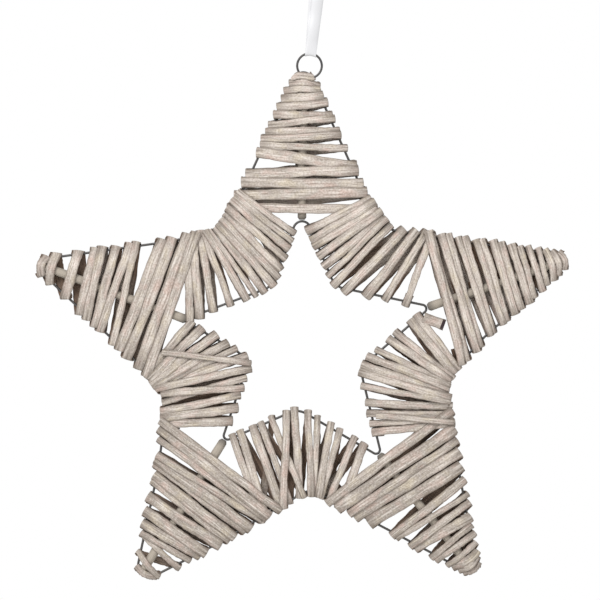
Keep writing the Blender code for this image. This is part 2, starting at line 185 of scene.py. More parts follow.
# Across the run, its section is an oval: half the width times a low power of the cosine, and half the
# thickness times the sine. Between its edges it curls forward by a parabola, and near the ring it takes the
# ring's round.
around = np.linspace(0.0, 2 * math.pi, RIBBON_COLUMNS, endpoint=False)
share_across = 0.5 * np.sign(np.cos(around)) * np.abs(np.cos(around)) ** EDGE_POWER
aside = share_across * GATHERED * RIBBON_WIDTH
outward = 0.5 * np.sin(around) * RIBBON_THICKNESS
near_ring = np.clip(1.0 - rise / RING_HOLD, 0.0, 1.0)[:, None]
drop = (ring_radius - np.sqrt(ring_radius**2 - aside**2)) * near_ring
curl = -RIBBON_CURL * (1.0 - 4.0 * share_across**2) * (1.0 - near_ring)
sideways = aside + ((0.5 - in_front) * RUN_OFFSET * rise / hook_rise)[:, None]
upward = rise[:, None] + tangent[:, 1, None] * outward - drop
run_depth = depth + ring_centre[1] * (1.0 - np.clip(rise / hang_length, 0, 1))
ribbon_depth = run_depth[:, None] - tangent[:, 0, None] * outward + curl
ribbon_points = (
    hang_foot
    + upward[..., None] * hang_up
    + sideways[..., None] * hang_across
    + ribbon_depth[..., None] * away
)

# Satin: woven of bright filament yarn, which gives the eye a soft sheen and faint threads along the ribbon
satin, tree, shader = new_finish(
    "white_polyester_satin",
    Base_Color=linear("#BEBEC0"),
    Roughness=0.38,
    Sheen_Weight=0.25,
    Sheen_Roughness=0.4,
)
coordinates = add_node(tree, "ShaderNodeTexCoord").outputs["Object"]
thread_scale = (1000 * THREADS_IN_A_MM, 1.0, 1000 * THREADS_IN_A_MM)
threads = add_node(tree, "ShaderNodeMapping", {"Vector": coordinates, "Scale": thread_scale}).outputs[0]
weave = add_node(tree, "ShaderNodeTexNoise", {"Vector": threads, "Scale": 1.0, "Detail": 1.0}).outputs["Fac"]
satin_bump = add_node(tree, "ShaderNodeBump", {"Height": weave, "Strength": 0.15, "Distance": 0.0001})
tree.links.new(satin_bump.outputs[0], shader.inputs["Normal"])

ribbon_faces = skin(ribbon_points, True)
ribbon = add_piece("satin_ribbon", ribbon_points, ribbon_faces, satin, ["ribbon"])

# Wires: two stars of 1.8 mm steel wire bent by hand, the outline and the smaller one round the opening.
# For each corner, from the top one anticlockwise: its share of the reach, and its bearing in degrees.
CENTRE = np.array((-0.0094, -0.2789))
TIP_REACH, NOTCH_REACH, POINT_REACH, BAY_REACH = 0.2167, 0.1088, 0.0937, 0.0476
TIPS = ((1.014, 90.4), (1.006, 161.6), (1.001, 233.6), (0.981, 307.6), (0.988, 19.6))
NOTCHES = ((1.024, 125.9), (0.992, 197.6), (0.934, 271.9), (0.965, 348.3), (1.022, 56.1))
POINTS = ((1.170, 91.5), (1.012, 164.9), (0.985, 226.8), (1.037, 306.1), (1.068, 20.3))
BAYS = ((1.170, 117.2), (0.881, 186.0), (0.887, 262.4), (0.891, 344.4), (1.140, 66.0))
TIP_BENDS = (0.0070, 0.0055, 0.0087, 0.0055, 0.0055)
POINT_BENDS = (0.0065, 0.0030, 0.0030, 0.0030, 0.0030)
NOTCH_BEND, BAY_BEND, SWAY_BEND = 0.0120, 0.0130, 0.0600
# The outer wire's sides sway a little. For each arm, the side anticlockwise of it and the other one: the
# share of the way from the tip to the notch, and how far in towards the arm's middle (out, where negative).
SWAYS = (
    ((0.70, 0.0027), (0.80, 0.0046)),
    ((0.84, 0.0026), (0.70, 0.0014)),
    ((0.42, -0.0023), (0.62, 0.0026)),
    ((0.50, 0.0003), (0.50, 0.0003)),
    ((0.50, 0.0005), (0.66, 0.0030)),
)
WIRE_RADIUS = 0.0009
BEND_STEPS = 16
WIRE_SIDES = 12
RUST_CLOUD_MM = 6.25


def star_corners(reach, corners):
    """Corners in the star's plane, each at its share of the reach and its bearing from the star's middle."""
    share, bearing = np.array(corners).T
    turn = np.radians(bearing)
    return CENTRE + (reach * share)[:, None] * np.stack((np.cos(turn), np.sin(turn)), axis=-1)


def lengths_along(line):
    """How far along a line each of its points is."""
    return np.concatenate(((0.0,), np.cumsum(np.linalg.norm(np.diff(line, axis=0), axis=1))))


def bent_wire(corners, bends):
    """A closed wire line whose corners are arcs: its points, their distances, and where each arc's middle is.

    Corners and bends come as lists of five, one for each arm, and the wire takes one of each list in turn.
    Each arc touches both straight sides of its corner, so its centre stands a radius off each of them.
    """
    corners = np.stack(corners, axis=1).reshape(-1, 2)
    bends = np.stack([np.broadcast_to(bend, 5) for bend in bends], axis=1).reshape(-1, 1)
    arriving = unit(corners - np.roll(corners, 1, axis=0))
    leaving = np.roll(arriving, -1, axis=0)
    turn = np.arctan2(np.cross(arriving, leaving), (arriving * leaving).sum(axis=1))[:, None]
    side = np.sign(turn) * np.stack((-arriving[:, 1], arriving[:, 0]), axis=-1)
    centre = corners - arriving * bends * np.tan(np.abs(turn) / 2) + side * bends
    swing = turn * np.linspace(0.0, 1.0, BEND_STEPS + 1)
    arm = -side * bends
    x = centre[:, :1] + arm[:, :1] * np.cos(swing) - arm[:, 1:] * np.sin(swing)
    z = centre[:, 1:] + arm[:, :1] * np.sin(swing) + arm[:, 1:] * np.cos(swing)
    line = np.stack((x, z), axis=-1).reshape(-1, 2)
    distances = lengths_along(np.vstack((line, line[:1])))
    return line, distances, distances[:-1][BEND_STEPS // 2 :: BEND_STEPS + 1]


def wire_skin(line, radius, sides, closed):
    """A round wire along a line in the plane Y = 0: at each point a circle square to the line.

    At an angle round it, the circle stands off the line by the radius, times the cosine of the angle to the
    line's left and times its sine to the front.
    """
    run = np.roll(line, -1, axis=0) - np.roll(line, 1, axis=0)
    if not closed:
        run[0], run[-1] = line[1] - line[0], line[-1] - line[-2]
    run = unit(run)
    around = np.linspace(0.0, 2 * math.pi, sides, endpoint=False)
    radius = np.broadcast_to(radius, len(line))[:, None]
    x = line[:, :1] - run[:, 1:] * np.cos(around) * radius
    y = -np.sin(around) * radius
    z = line[:, 1:] + run[:, :1] * np.cos(around) * radius
    return np.stack((x, y, z), axis=-1)


tips, notches = star_corners(TIP_REACH, TIPS), star_corners(NOTCH_REACH, NOTCHES)
points, bays = star_corners(POINT_REACH, POINTS), star_corners(BAY_REACH, BAYS)
toward_notches = np.stack((notches, np.roll(notches, 1, axis=0)), axis=1) - tips[:, None]
runs = unit(toward_notches)
into_arm = np.stack((-runs[..., 1], runs[..., 0]), axis=-1) * np.array(((1.0,), (-1.0,)))
sway_shares, sway_depths = np.moveaxis(np.array(SWAYS)[..., None], 2, 0)
sway_corners = tips[:, None] + sway_shares * toward_notches + sway_depths * into_arm
following_sways = np.roll(sway_corners[:, 1], -1, axis=0)
outer_wire = bent_wire(
    (tips, sway_corners[:, 0], notches, following_sways), (TIP_BENDS, SWAY_BEND, NOTCH_BEND, SWAY_BEND)
)
inner_wire = bent_wire((points, bays), (POINT_BENDS, BAY_BEND))

# Drawn steel wire, dulled in store: it gives the eye dark grey with a broad soft shine and faint rust-brown
# clouds
steel, tree, shader = new_finish("dull_drawn_steel_wire", Metallic=0.75, Roughness=0.48)
coordinates = add_node(tree, "ShaderNodeTexCoord").outputs["Object"]
cloud_inputs = {"Vector": coordinates, "Scale": 1000 / RUST_CLOUD_MM, "Detail": 4.0}
clouds = add_node(tree, "ShaderNodeTexNoise", cloud_inputs).outputs["Fac"]
shades = {"Factor": clouds, 6: linear("#3E4044"), 7: linear("#5A554F")}
steel_colour = add_node(tree, "ShaderNodeMix", shades, data_type="RGBA").outputs[2]
tree.links.new(steel_colour, shader.inputs["Base Color"])

for name, wire in (("outer_wire", outer_wire), ("inner_wire", inner_wire)):
    wire_points = wire_skin(wire[0], WIRE_RADIUS, WIRE_SIDES, True)
    faces = skin(wire_points, True)
    add_piece(f"{name}_bent_steel", wire_points, faces, steel, [f"{name}_star"])

# Ring: a small closed ring of 1.7 mm steel wire at the top tip, which the ribbon runs through. The top wrap
# holds its lower side.
RING_STATIONS = 72
RING_SIDES = 16
around_ring = np.linspace(0.0, 2 * math.pi, RING_STATIONS, endpoint=False)
ring_line = ring_centre[[0, 2]] + ring_radius * np.stack((np.cos(around_ring), np.sin(around_ring)), axis=-1)
ring_points = wire_skin(ring_line, ring_wire, RING_SIDES, True) + ring_centre * (0, 1, 0)
add_piece("steel_ring", ring_points, skin(ring_points, True), steel, ["hanging_ring"])

# Rods: a peeled willow rod down the middle of each arm, between the two sides of the wire. It stiffens the
# arm, and shows only where the strips part.
ROD_RADIUS = 0.0034
ROD_STATIONS = 60
ROD_SIDES = 20
ROD_BOW = 0.0004  # sideways, in a slow wave
ROD_UNEVEN = 0.03  # share of its thickness
ROD_WAVES = (7.0, 19.0)  # radians from end to end, of its bow and of its thickness
ROD_END_ROUND = 0.0015  # from each end, that is rounded off
ROD_END_SHARE = 0.62  # of its thickness, that is left at the end itself
ROD_END_SHADE = 0.006  # from the end by the inner wire, that is darkened with painted shade
# How dark that painted shade gets at the end itself
DARKEST_END_SHADE = 0.85
GRAINS_ACROSS, GRAINS_ALONG = 0.9, 0.045  # in a mm, so each is 1.1 mm wide and 22 mm long
FIT = 0.0003  # left free between a rod and the wires
ARMS = ("top", "left", "lower_left", "lower_right", "right")

# Peeled willow, greyed by age: it gives the eye long fine grain, darker in streaks, and painted shade
# darkening its end by the inner wire
rod_willow, tree, shader = new_finish("weathered_peeled_willow", Roughness=0.8)
coordinates = add_node(tree, "ShaderNodeUVMap", uv_map="grain").outputs[0]
grain_scale = (1000 * GRAINS_ACROSS, 1000 * GRAINS_ALONG, 1.0)
place = add_node(tree, "ShaderNodeMapping", {"Vector": coordinates, "Scale": grain_scale}).outputs[0]
grain = add_node(tree, "ShaderNodeTexNoise", {"Vector": place, "Scale": 1.0, "Detail": 4.0}).outputs["Fac"]
painted_end_shade = add_node(tree, "ShaderNodeVertexColor", layer_name="painted_end_shade").outputs["Color"]
rod_colour = linear("#7B7268")
# Grain, then painted shade at the rod's end by the inner wire
for amount, shade in ((grain, "#AAA194"), (painted_end_shade, "#4B4742")):
    shades = {"Factor": amount, 6: rod_colour, 7: linear(shade)}
    rod_colour = add_node(tree, "ShaderNodeMix", shades, data_type="RGBA").outputs[2]
tree.links.new(rod_colour, shader.inputs["Base Color"])
rod_bump = add_node(tree, "ShaderNodeBump", {"Height": grain, "Strength": 0.5, "Distance": 0.0003})
tree.links.new(rod_bump.outputs[0], shader.inputs["Normal"])


def write_grain_map(piece, across, along):
    """The piece's UV map, in metres: across the grain, and along it. Both are given for each face corner."""
    layer = piece.data.uv_layers.new(name="grain")
    layer.data.foreach_set("uv", np.stack((across, along), axis=-1).astype(np.float32).ravel())


def corner_values(rows, columns, closed_rows, per_row, per_column):
    """Values at the face corners of a skin, from a value for each row and each column.

    There is one value more than there are columns, so that the last column closes onto the first without
    running back, and the same for rows that close.
    """
    row = np.arange(rows if closed_rows else rows - 1)
    row_pairs = np.stack((row, row, row + 1, row + 1), axis=-1)[:, None, :]
    column = np.arange(columns)
    column_pairs = np.stack((column, column + 1, column + 1, column), axis=-1)[None]
    along = np.broadcast_to(per_row[row_pairs], (len(row), columns, 4)).ravel()
    across = np.broadcast_to(per_column[column_pairs], (len(row), columns, 4)).ravel()
    if closed_rows:
        return across, along
    ends = np.concatenate((per_column[columns - 1 :: -1], per_column[:columns]))
    levels = np.concatenate((np.full(columns, per_row[0]), np.full(columns, per_row[-1])))
    return np.concatenate((across, ends)), np.concatenate((along, levels))


# Each rod starts where the wire's sides leave room for it, but the top one under the wrap, where its solid
# does. It bows by two sine waves multiplied, its thickness goes up and down with a third, and within a short
# reach of its ends it thins out with the square root of the distance.
for k, name in enumerate(ARMS):
    tip = tips[k]
    apex = inner_wire[0][2 * k * (BEND_STEPS + 1) + BEND_STEPS // 2]
    run = unit(apex - tip)
    rod_end = apex - run * (WIRE_RADIUS + FIT)
    if name == "top":
        rod_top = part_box(f"{name}_arm_rod")[1][2]
        rod_start = tip + run * (tip[1] - rod_top) / -run[1]
    else:
        sides = unit(sway_corners[k] - tip)
        wire_top = TIP_BENDS[k] * (1.0 / math.sin(math.acos(sides[0] @ sides[1]) / 2) - 1.0)
        slant = np.abs(np.cross(run, sides)).min()
        rod_start = tip + run * max((ROD_RADIUS + WIRE_RADIUS + FIT) / slant, wire_top + WIRE_RADIUS + FIT)
    share = np.linspace(0.0, 1.0, ROD_STATIONS)
    length = np.linalg.norm(rod_end - rod_start)
    bow = ROD_BOW * np.sin(math.pi * share) * np.sin(ROD_WAVES[0] * share + k)
    line = rod_start + share[:, None] * (rod_end - rod_start) + bow[:, None] * np.array((-run[1], run[0]))
    end_round = np.clip(np.minimum(share, 1.0 - share) * length / ROD_END_ROUND, 0.0, 1.0) ** 0.5
    thick = ROD_RADIUS * (1.0 - ROD_UNEVEN + ROD_UNEVEN * np.sin(ROD_WAVES[1] * share + 2 * k))
    thick *= ROD_END_SHARE + (1.0 - ROD_END_SHARE) * end_round
    surface = wire_skin(line, thick, ROD_SIDES, False)
    faces = skin(surface, False)
    rod = add_piece(f"{name}_arm_willow_rod", surface, faces, rod_willow, [f"{name}_arm_rod"])
    girth = np.linspace(0.0, 2 * math.pi * ROD_RADIUS, ROD_SIDES + 1)
    write_grain_map(rod, *corner_values(ROD_STATIONS, ROD_SIDES, False, share * length, girth))
    # Painted shade darkening the rod towards its end by the inner wire
    painted_end_shade = np.clip(1.0 - (1.0 - share) * length / ROD_END_SHADE, 0.0, DARKEST_END_SHADE)
    layer = rod.data.color_attributes.new("painted_end_shade", "FLOAT_COLOR", "POINT")
    layer.data.foreach_set("color", np.repeat(painted_end_shade, 4 * ROD_SIDES).astype(np.float32))

# Top arm: willow strips split about 6 mm wide, wound round both sides of the wire from the tip downwards.
# Each strip makes several turns, is folded hard over the wire, and rides over the ones laid before it.
STRIP_WIDTH = 0.0063
STRIP_THICKNESS = 0.0013
STRIP_CROWN = 0.00045  # the outer face is a little rounder than the inner one
OUTER_COLUMNS, INNER_COLUMNS = 7, 5
STRIP_COLUMNS = OUTER_COLUMNS + INNER_COLUMNS
PASS_SHARES = np.linspace(0.0, 1.0, 19)
STRIPS_IN_A_ZONE = 3
TAIL = 0.15  # of a pass behind, that the first and the last strip of a zone are tucked in
JOIN = (0.43, 0.46)  # of a pass behind, between which one strip ends and the next one starts

FOLD_TURNS = np.radians((0, 30, 60, 90, 90, 120, 150, 180))
FOLD_RADIUS = 0.0007
SHORTEST_FOLD, LONGEST_FOLD = 0.0017, 0.0036  # how far a fold stands out past the middle of the wire
CREASE_ANGLE = math.radians(32)  # past which two faces of a strip meet in a hard line

STRIP_CLEARANCE = 0.0001  # between the wires and the lowest strips
LEAST_OVERLAP = 0.00063  # strips that overlap less than this lean on each other
LIFT_OVERLAP = 0.0018  # further overlap, over which a strip is lifted onto the other one
PAST_END = 0.03  # share of its length past each end, on which a pass still carries others
HIGHEST = 0.0030  # that a strip rides above the lowest layer
LIFT_SMOOTHING = (0.1, 0.2, 0.4, 0.2, 0.1)
FLATTEST_CROWN = 0.85  # the least share of its crown that a pass gets, at random

# No strip is even. These change at random from knot to knot along it, and its edges at every station
KNOT_SPACING = 0.018
KNOTS_PAST_END = 0.03
WIDTH_SPREAD = 0.10
TONE_SPREAD = 0.26
ROLL = 0.05  # radians, either way
WANDER = 0.0005  # sideways, off the straight line between the wires
RAGGED = 0.00025  # how far each edge strays in and out

WEAR_REACH = 0.006  # from the wire, that the wash is worn off a pass
DIRTY_END = 12.0  # how worn a loose end is at its cut, against 1 on a fold
LOOSE_GREYNESS = 0.5
BARE_AND_SHADE_BY_TONE, LEAST_BARE_AND_SHADE = 1.9, 0.15  # how bare of wash the inner faces are by their tone, which also darkens them as painted shade, and at least
GRAIN_START, GRAIN_SHIFT = 0.17, 0.31  # from strip to strip, so that no two show the same grain

TIP_ZONE = 0.024  # down the arm, in which the passes bow out round the tip
TIP_ARCH = 0.25  # of its length, for a pass at the very tip
TIP_TIGHTNESS = 1.5  # how fast the folds shorten with that arch
ROD_SHOULDER = 0.006  # width of the arm where the rod starts to lift the strips, and fully at twice this
ROOF_ROUND = 0.02  # how round the strips' roof is over the rod

# How dark the strips' tone is on the whole, lighter on the top and right arms and darker on the lower ones,
# how bare of wash the inner faces are, which also puts painted shade in the gaps between strips, and how much
# wider the strips are behind, where they are pressed flat: arm by arm from the top, anticlockwise
ARM_LOOKS = ((0.33, 0.15, 1.2), (0.42, 0.9, 1.4), (1.00, 0.7, 1.2), (0.80, 0.85, 1.2), (0.10, 2.0, 1.5))
# Where each pass in front crosses the left and the right side, in mm below the tip along the arm, and how
# wide the strip is there, also in mm. A pass listed later lies over the ones before it.
TOP_ARM_PASSES = (
    (18, 20, 5.5), (23.5, 23, 5.5), (29.5, 27.5, 6.5), (36, 33, 6), (41.5, 42.5, 6.5), (49, 44.5, 5.5),
    (54.5, 54, 7), (60, 57, 5.5), (64.5, 66.5, 5.5), (70.5, 80.5, 8.5), (86, 83, 7.5), (92.5, 93.5, 7.5),
    (102, 99.5, 8), (112, 112, 7),
)

# Whitewashed split willow: a thin chalky wash over pinkish beige wood. It gives the eye fine lengthwise
# grain, strips of slightly different tone, bare brown wood on the inner faces that also stands in as painted
# shade in the gaps between strips, painted shade darkening the strips' edges, and greyer worn folds.
strip_willow, tree, shader = new_finish("whitewashed_split_willow", Roughness=0.78, Specular_IOR_Level=0.3)
grain_map = add_node(tree, "ShaderNodeUVMap", uv_map="grain").outputs[0]
marks = add_node(tree, "ShaderNodeVertexColor", layer_name="strip").outputs
# Alpha: painted shade darkening the strips' long edges, standing in for the contact shadows between strips
edge = marks["Alpha"]
marks = add_node(tree, "ShaderNodeSeparateColor", {"Color": marks["Color"]}).outputs
tone, bare_inside_and_shade, worn = marks["Red"], marks["Green"], marks["Blue"]

# Grain: noise drawn out along the strip. For each kind, its size across and along in mm, and its detail
drawn_out = []
for across_mm, along_mm, detail in ((0.8, 16.0, 5.0), (1.7, 45.0, 2.0), (7.0, 14.0, 3.0), (0.9, 1.5, 2.0)):
    grain_scale = (1000.0 / across_mm, 1000.0 / along_mm, 1.0)
    place = add_node(tree, "ShaderNodeMapping", {"Vector": grain_map, "Scale": grain_scale}).outputs[0]
    noise_inputs = {"Vector": place, "Scale": 1.0, "Detail": detail}
    drawn_out.append(add_node(tree, "ShaderNodeTexNoise", noise_inputs).outputs["Fac"])
fibres, streaks, patches, speckle = drawn_out
streak_reach = {"Value": streaks, "From Min": 0.3, "From Max": 0.7}
streaky = add_node(tree, "ShaderNodeMapRange", streak_reach).outputs[0]
streaky_wear = add_node(tree, "ShaderNodeMath", {0: worn, 1: streaky}, operation="MULTIPLY").outputs[0]

# Colours laid one over the other: what places each, from where to where it comes in, and how strong it gets
colour = linear("#BBB1A8")
for pattern, low, high, strongest, shade in (
    (tone, 0.0, 1.0, 1.0, "#938B83"),
    (patches, 0.50, 0.72, 0.7, "#BBAE97"),
    (patches, 0.49, 0.30, 0.7, "#BBA196"),
    (streaks, 0.50, 0.72, 0.6, "#7C7168"),
    (fibres, 0.50, 0.75, 0.8, "#6E635A"),
    (fibres, 0.48, 0.28, 0.7, "#DCD5CD"),
    (speckle, 0.50, 0.70, 0.5, "#7F746A"),
    (speckle, 0.50, 0.30, 0.4, "#CFC7C0"),
    (streaky_wear, 0.0, 1.0, 1.0, "#6F665E"),
    (worn, 1.0, 2.0, 1.0, "#33272A"),
    # Painted shade along the strips' edges, standing in for the contact shadows between overlapping strips
    (edge, 0.2, 1.0, 0.75, "#5D5249"),
):
    reach = {"Value": pattern, "From Min": low, "From Max": high, "To Max": strongest}
    shades = {"Factor": add_node(tree, "ShaderNodeMapRange", reach).outputs[0], 6: colour, 7: linear(shade)}
    colour = add_node(tree, "ShaderNodeMix", shades, data_type="RGBA").outputs[2]

# The inner faces' bare wood, with darker fibres, which also stands in as painted shade in the gaps between
# strips
fibre_reach = {"Value": fibres, "From Min": 0.35, "From Max": 0.7}
dark_fibres = add_node(tree, "ShaderNodeMapRange", fibre_reach).outputs[0]
shades = {"Factor": dark_fibres, 6: linear("#6E5644"), 7: linear("#3A2B21")}
bare_wood_and_shade = add_node(tree, "ShaderNodeMix", shades, data_type="RGBA").outputs[2]
shades = {"Factor": bare_inside_and_shade, 6: colour, 7: bare_wood_and_shade}
colour = add_node(tree, "ShaderNodeMix", shades, data_type="RGBA").outputs[2]
tree.links.new(colour, shader.inputs["Base Color"])
relief = add_node(tree, "ShaderNodeMath", {0: fibres, 1: streaks}, operation="ADD").outputs[0]
strip_bump = add_node(tree, "ShaderNodeBump", {"Height": relief, "Strength": 0.8, "Distance": 0.0005})
tree.links.new(strip_bump.outputs[0], shader.inputs["Normal"])

laid = {"front": [], "back": []}  # the passes laid so far, each with its start, end, width and height


def settle(start, end, width, face):
    """How high a pass rides along its length, on the passes already laid on that face.

    Where it overlaps an earlier one it must clear that one's height by a strip's thickness. The largest
    need is spread to the stations beside it and smoothed, as a stiff strip bridges what it crosses.
    """
    places = start + PASS_SHARES[:, None] * (end - start)
    need = np.zeros(len(PASS_SHARES))
    for other_start, other_end, other_width, other_height in laid[face]:
        run = other_end - other_start
        length = np.linalg.norm(run)
        along = (places - other_start) @ run / length**2
        aside = np.abs(np.cross(places - other_start, run)) / length
        over = np.clip(((width + other_width) / 2 - aside - LEAST_OVERLAP) / LIFT_OVERLAP, 0.0, 1.0)
        over = over * (np.abs(along - 0.5) < 0.5 + PAST_END)
        need = np.maximum(need, over * (np.interp(along, PASS_SHARES, other_height) + STRIP_THICKNESS))
    half = len(LIFT_SMOOTHING) // 2
    padded = np.pad(need, half + 1, mode="edge")
    spread = np.maximum(np.maximum(padded[:-2], padded[1:-1]), padded[2:])
    height = np.minimum(np.convolve(spread, LIFT_SMOOTHING, "valid"), HIGHEST)
    laid[face].append((start, end, width, height))
    return height


def strip_shell(stations, across, outward, widths, bulge, rng):
    """A strip's surface: at each station a thin oblong section, square to the way the strip runs.

    Columns go over the crowned outer face and back along the flat inner one. The crown falls off with the
    square of the place across. Each edge strays in and out by its own amount at each station, and the
    columns beside it follow by the cube of their place. The bulge lifts both faces.
    """
    aside = np.concatenate((np.linspace(0.5, -0.5, OUTER_COLUMNS), np.linspace(-0.5, 0.5, INNER_COLUMNS)))
    crowned = STRIP_THICKNESS / 2 + STRIP_CROWN * (1.0 - 4.0 * aside**2)
    out = np.where(np.arange(STRIP_COLUMNS) < OUTER_COLUMNS, crowned, -STRIP_THICKNESS / 2)
    stray = RAGGED * rng.uniform(-1.0, 1.0, (len(stations), 2))
    edge = np.where(aside > 0, stray[:, :1], -stray[:, 1:]) * np.abs(2.0 * aside) ** 3
    return (
        stations[:, None, :]
        + across[:, None, :] * (widths[:, None] * aside + edge)[..., None]
        + outward[:, None, :] * (out + np.broadcast_to(bulge, (len(stations), STRIP_COLUMNS)))[..., None]
    )


def in_space(flat, depth):
    """Points in the star's plane, moved to a depth."""
    return np.stack((flat[..., 0], np.broadcast_to(depth, flat.shape[:-1]), flat[..., 1]), axis=-1)


def run_strip(legs, greyness, rng):
    """One strip along its legs, which are passes and folds: its skin, its marks and its lengths.

    At an angle t round the fold, the strip runs along its direction times cos t and away from the viewer
    times sin t, and its outer face looks along the direction times sin t and to the viewer times cos t.
    """
    flat, depth, direction, turn, worn, widths = (np.concatenate(values) for values in zip(*legs))
    direction = unit(direction)
    run3 = in_space(direction, 0.0)
    outward = run3 * np.sin(turn)[:, None] - away * np.cos(turn)[:, None]
    across = np.cross(run3, away)
    stations = in_space(flat, depth)
    lengths = lengths_along(stations)
    knots = np.arange(0.0, lengths[-1] + KNOTS_PAST_END, KNOT_SPACING)
    wander, lean, spread = (np.interp(lengths, knots, rng.uniform(-1, 1, len(knots))) for _ in range(3))
    stations = stations + across * (WANDER * wander)[:, None]
    widths = widths * (1.0 + WIDTH_SPREAD * spread)
    lean = (ROLL * lean * np.cos(turn) ** 2)[:, None]
    leant_across = across * np.cos(lean) + outward * np.sin(lean)
    leant_outward = outward * np.cos(lean) - across * np.sin(lean)
    shell = strip_shell(stations, leant_across, leant_outward, widths, 0.0, rng)
    tone = np.interp(lengths, knots, np.clip(rng.normal(greyness, TONE_SPREAD, len(knots)), 0, 1))
    return shell, tone, worn, lengths


def add_strips(name, strips, replaced, bareness_and_shade, closed=False):
    """All the strips of a zone as one object, with their grain map and their marks.

    The marks are a strip's tone, its inner side, its wear and its edges, as the parts of one colour. The
    edges carry painted shade, and the inner side unwashed wood that also stands in as painted shade in the
    gaps.
    Inner faces take it by a tone of their own, which is the strip's read from its other end.
    """
    all_points, all_faces, all_marks, grain_places = [], [], [], []
    inner = np.arange(STRIP_COLUMNS) >= OUTER_COLUMNS
    # How near each column is to the strip's edge, for the painted shade along the edges
    edge = np.abs(np.concatenate((np.linspace(-1, 1, OUTER_COLUMNS), np.linspace(-1, 1, INNER_COLUMNS)))) ** 3
    girth = np.linspace(0.0, 2 * STRIP_WIDTH, STRIP_COLUMNS + 1)
    count = 0
    for number, (shell, tone, worn, lengths) in enumerate(strips):
        rows = len(shell)
        all_faces += skin(shell, closed, count)
        all_points.append(shell.reshape(-1, 3))
        count += rows * STRIP_COLUMNS
        # Inner faces darkened as bare wood, and partly as painted shade seen in the gaps between strips
        bare_wood_and_shade = inner * bareness_and_shade * np.clip(BARE_AND_SHADE_BY_TONE * tone[::-1, None], LEAST_BARE_AND_SHADE, 1.0)
        marks = np.broadcast_arrays(tone[:, None], bare_wood_and_shade, worn[:, None], edge)
        all_marks.append(np.stack(marks, axis=-1).reshape(-1, 4))
        shift = GRAIN_START + GRAIN_SHIFT * number
        levels = np.append(lengths, lengths[-1] + STRIP_WIDTH) + shift
        grain_places.append(corner_values(rows, STRIP_COLUMNS, closed, levels, girth + shift))
    piece = add_piece(name, np.concatenate(all_points), all_faces, strip_willow, replaced)
    piece.data.set_sharp_from_angle(angle=CREASE_ANGLE)
    write_grain_map(piece, *np.concatenate(grain_places, axis=1))
    layer = piece.data.color_attributes.new("strip", "FLOAT_COLOR", "POINT")
    layer.data.foreach_set("color", np.concatenate(all_marks).astype(np.float32).ravel())


def fold_leg(place, before, after, height_before, height_after, reach, widths, to_front):
    """The fold over one wire, from the face where the strip came along to the other one.

    It is creased twice: it runs on past the wire, round a tight quarter turn, straight through to the other
    side, and round a second one. At an angle t round it, it stands out by the reach, less a radius times
    1 - sin t, and its depth changes by the radius times cos t. At edge a it leads to the front.
    """
    side = -1.0 if to_front else 1.0
    share = (FOLD_TURNS / math.pi)[:, None]
    direction = unit(before * (1.0 - share) + after * share)
    out = reach - FOLD_RADIUS * (1.0 - np.sin(FOLD_TURNS))
    first_half = np.arange(len(FOLD_TURNS)) < len(FOLD_TURNS) / 2
    level = np.where(first_half, FOLD_RADIUS - height_before, height_after - FOLD_RADIUS)
    depth = level - FOLD_RADIUS * np.cos(FOLD_TURNS)
    turn = FOLD_TURNS + (math.pi if to_front else 0.0)
    width = widths[0] * (1.0 - share[:, 0]) + widths[1] * share[:, 0]
    return place + side * direction * out[:, None], side * depth, direction, turn, np.ones(len(turn)), width


def pass_leg(start, end, heights, width, behind, low=0.0, high=1.0, arch=0.0):
    """A pass between the wires, in front from edge a to edge b or behind from edge b to edge a.

    At the share s of its way it stands 4 s (1 - s) times the arch off the straight line.
    """
    chosen = (PASS_SHARES > low) & (PASS_SHARES < high)
    shares, height = PASS_SHARES[chosen], heights[chosen]
    if behind:
        shares, height = shares[::-1], height[::-1]
    flat = start + shares[:, None] * (end - start) + 4 * (shares * (1 - shares))[:, None] * arch
    to_wire = np.minimum(shares, 1.0 - shares) * np.linalg.norm(end - start)
    worn = np.clip(1.0 - to_wire / WEAR_REACH, 0.0, 1.0)
    direction = end - start + 4 * (1 - 2 * shares)[:, None] * arch
    turn = np.full(len(shares), math.pi if behind else 0.0)
    return flat, height if behind else -height, direction, turn, worn, np.full(len(shares), width)


